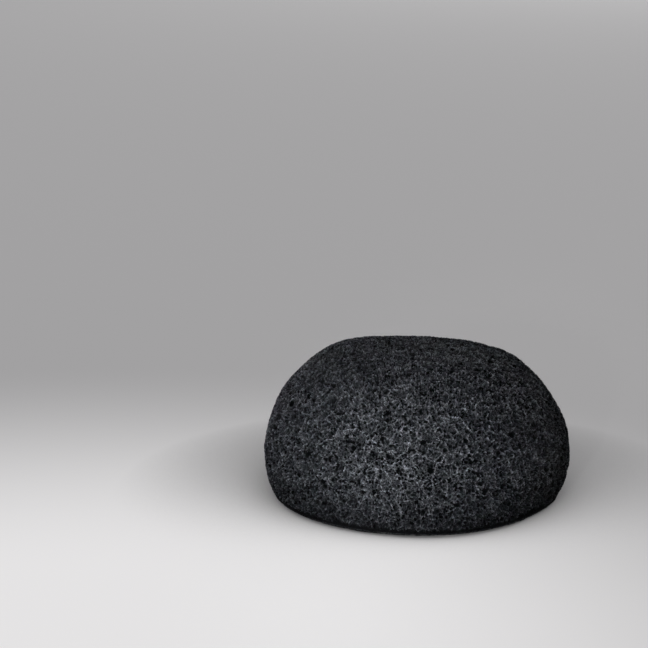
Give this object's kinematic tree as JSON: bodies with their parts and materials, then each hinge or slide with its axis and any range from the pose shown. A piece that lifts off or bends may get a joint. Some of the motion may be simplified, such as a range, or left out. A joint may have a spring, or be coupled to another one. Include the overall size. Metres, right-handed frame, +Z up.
{
  "type": "konjac sponge",
  "caption": "Charcoal-black konjac sponge for washing the face: a squat half ball of open-pored foam with a flat skinned face to rest on.",
  "frame": {"origin": "centre of the bounding box, on the flat face that the sponge rests on", "axes": "+Z up from the flat face through the crown, -Y towards the viewer of the picture, -X towards the crown's high side"},
  "size_m": [0.08, 0.08, 0.0396],
  "materials": {
    "rind": "matte open-pored charcoal foam",
    "core": "matte coarse charcoal foam",
    "base": "matte close-pored charcoal skin"
  },
  "bodies": {
    "root": {"dome_rind": "rind", "foam_core": "core", "base_skin": "base"}
  },
  "joints": []
}
